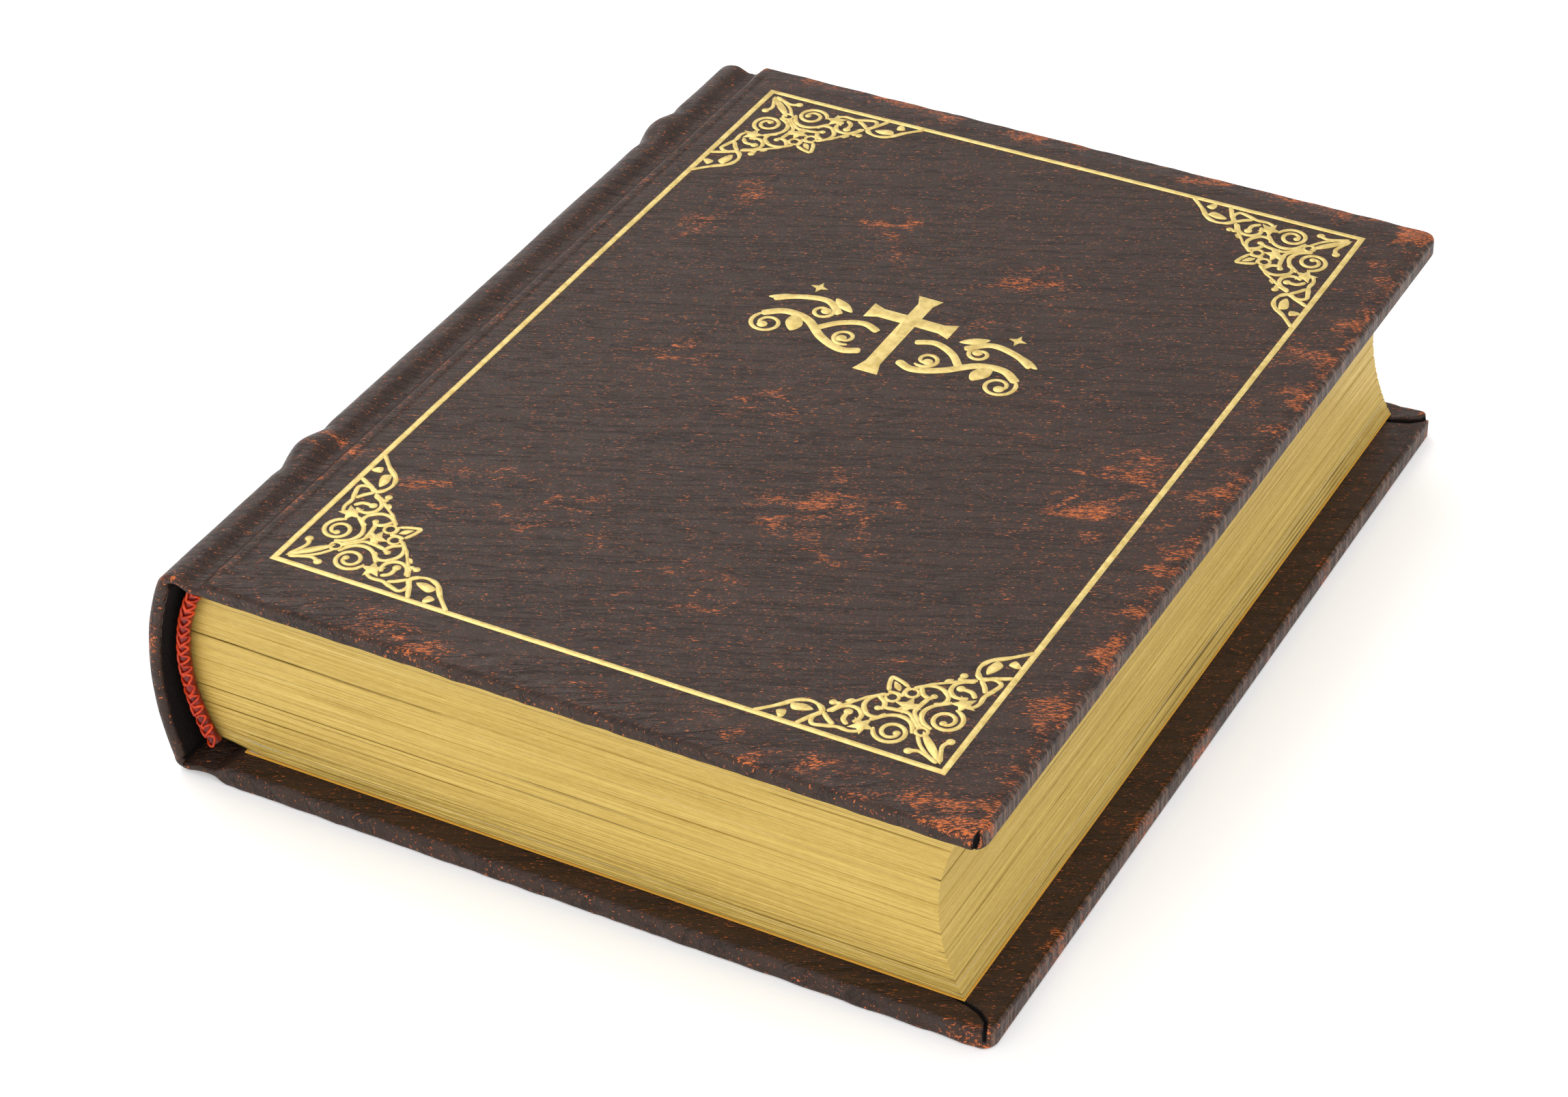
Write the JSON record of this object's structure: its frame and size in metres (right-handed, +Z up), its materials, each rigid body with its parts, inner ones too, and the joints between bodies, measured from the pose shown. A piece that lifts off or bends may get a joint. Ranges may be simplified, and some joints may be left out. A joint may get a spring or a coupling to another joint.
{
  "type": "bible",
  "caption": "Large leather-bound book on its back cover: hinged covers, hollow spine with raised bands, silk endbands and a gilt-edged, sewn text block.",
  "frame": {"origin": "middle of the book, on the surface that the back cover rests on", "axes": "+X from the spine to the fore edge, +Y from the tail to the head, +Z up through the front cover"},
  "size_m": [0.199, 0.241, 0.055],
  "materials": {
    "cover_leather": "dark grey-brown waxed leather, streaked grain, rust-brown wear",
    "grey_board": "plain grey board",
    "band_strip": "undyed leather strip",
    "endpaper": "heavy cream laid paper",
    "gilt_leaves": "thin paper, gilt on its three cut edges",
    "linen": "unbleached linen",
    "sewing_thread": "waxed linen thread",
    "endband_silk": "glossy red-orange silk",
    "gold_tooling": "gold leaf, satin, slightly mottled"
  },
  "bodies": {
    "back_cover": {"back_board_core": "grey_board", "back_cover_leather": "cover_leather", "back_infill_card": "grey_board", "back_endpaper_pastedown": "endpaper", "back_joint_leather": "cover_leather"},
    "back_flyleaf_sheet": {"back_flyleaf": "endpaper"},
    "rear_leaves": {"section_08": "gilt_leaves", "section_09": "gilt_leaves", "section_10": "gilt_leaves", "section_11": "gilt_leaves", "section_12": "gilt_leaves", "section_13": "gilt_leaves", "section_14": "gilt_leaves", "sewing_tapes_lower": "linen", "spine_lining_lower": "linen", "sewing_thread_lower": "sewing_thread", "tail_endband_lower": "endband_silk", "head_endband_lower": "endband_silk"},
    "loose_sheet_1": {"loose_leaves_1": "gilt_leaves"},
    "loose_sheet_2": {"loose_leaves_2": "gilt_leaves"},
    "loose_sheet_3": {"loose_leaves_3": "gilt_leaves"},
    "spine": {"spine_leather": "cover_leather", "raised_band_tail": "band_strip", "raised_band_head": "band_strip", "spine_stiffener": "grey_board", "front_joint_leather": "cover_leather"},
    "front_leaves": {"section_01": "gilt_leaves", "section_02": "gilt_leaves", "section_03": "gilt_leaves", "section_04": "gilt_leaves", "section_05": "gilt_leaves", "section_06": "gilt_leaves", "section_07": "gilt_leaves", "sewing_tapes_upper": "linen", "spine_lining_upper": "linen", "sewing_thread_upper": "sewing_thread", "tail_endband_upper": "endband_silk", "head_endband_upper": "endband_silk"},
    "front_flyleaf_sheet": {"front_flyleaf": "endpaper"},
    "front_cover": {"front_board_core": "grey_board", "front_cover_leather": "cover_leather", "front_infill_card": "grey_board", "front_endpaper_pastedown": "endpaper"}
  },
  "joints": [
    {"name": "back_cover_hinge", "type": "hinge", "parent": "back_cover", "child": "rear_leaves", "pos_m": [-0.0928, 0, 0.0015], "axis": [0, 1, 0], "range_deg": [-35, 0]},
    {"name": "back_flyleaf_turn", "type": "hinge", "parent": "back_cover", "child": "back_flyleaf_sheet", "pos_m": [-0.08, 0, 0.0055], "axis": [0, 1, 0], "range_deg": [-17.5, 0]},
    {"name": "middle_opening", "type": "hinge", "parent": "rear_leaves", "child": "spine", "pos_m": [-0.0928, 0, 0.0015], "axis": [0, 1, 0], "range_deg": [-30, 0]},
    {"name": "front_half_turn", "type": "hinge", "parent": "spine", "child": "front_leaves", "pos_m": [-0.0848, 0, 0.054], "axis": [0, 1, 0], "range_deg": [-30, 0]},
    {"name": "loose_turn_1", "type": "hinge", "parent": "rear_leaves", "child": "loose_sheet_1", "pos_m": [-0.092, 0, 0.0275], "axis": [0, 1, 0], "range_deg": [-15, 0]},
    {"name": "loose_turn_2", "type": "hinge", "parent": "rear_leaves", "child": "loose_sheet_2", "pos_m": [-0.092, 0, 0.0275], "axis": [0, 1, 0], "range_deg": [-30, 0]},
    {"name": "loose_turn_3", "type": "hinge", "parent": "rear_leaves", "child": "loose_sheet_3", "pos_m": [-0.092, 0, 0.0275], "axis": [0, 1, 0], "range_deg": [-45, 0]},
    {"name": "front_cover_hinge", "type": "hinge", "parent": "front_leaves", "child": "front_cover", "pos_m": [-0.0848, 0, 0.054], "axis": [0, -1, 0], "range_deg": [0, 140]},
    {"name": "front_flyleaf_turn", "type": "hinge", "parent": "front_leaves", "child": "front_flyleaf_sheet", "pos_m": [-0.08, 0, 0.0495], "axis": [0, -1, 0], "range_deg": [0, 63]}
  ],
  "couplings": [
    {"joint": "front_half_turn", "follows": "middle_opening", "ratio": 1},
    {"joint": "loose_turn_1", "follows": "middle_opening", "ratio": 0.5},
    {"joint": "loose_turn_2", "follows": "middle_opening", "ratio": 1},
    {"joint": "loose_turn_3", "follows": "middle_opening", "ratio": 1.5},
    {"joint": "back_flyleaf_turn", "follows": "back_cover_hinge", "ratio": 0.5},
    {"joint": "front_flyleaf_turn", "follows": "front_cover_hinge", "ratio": 0.45}
  ]
}
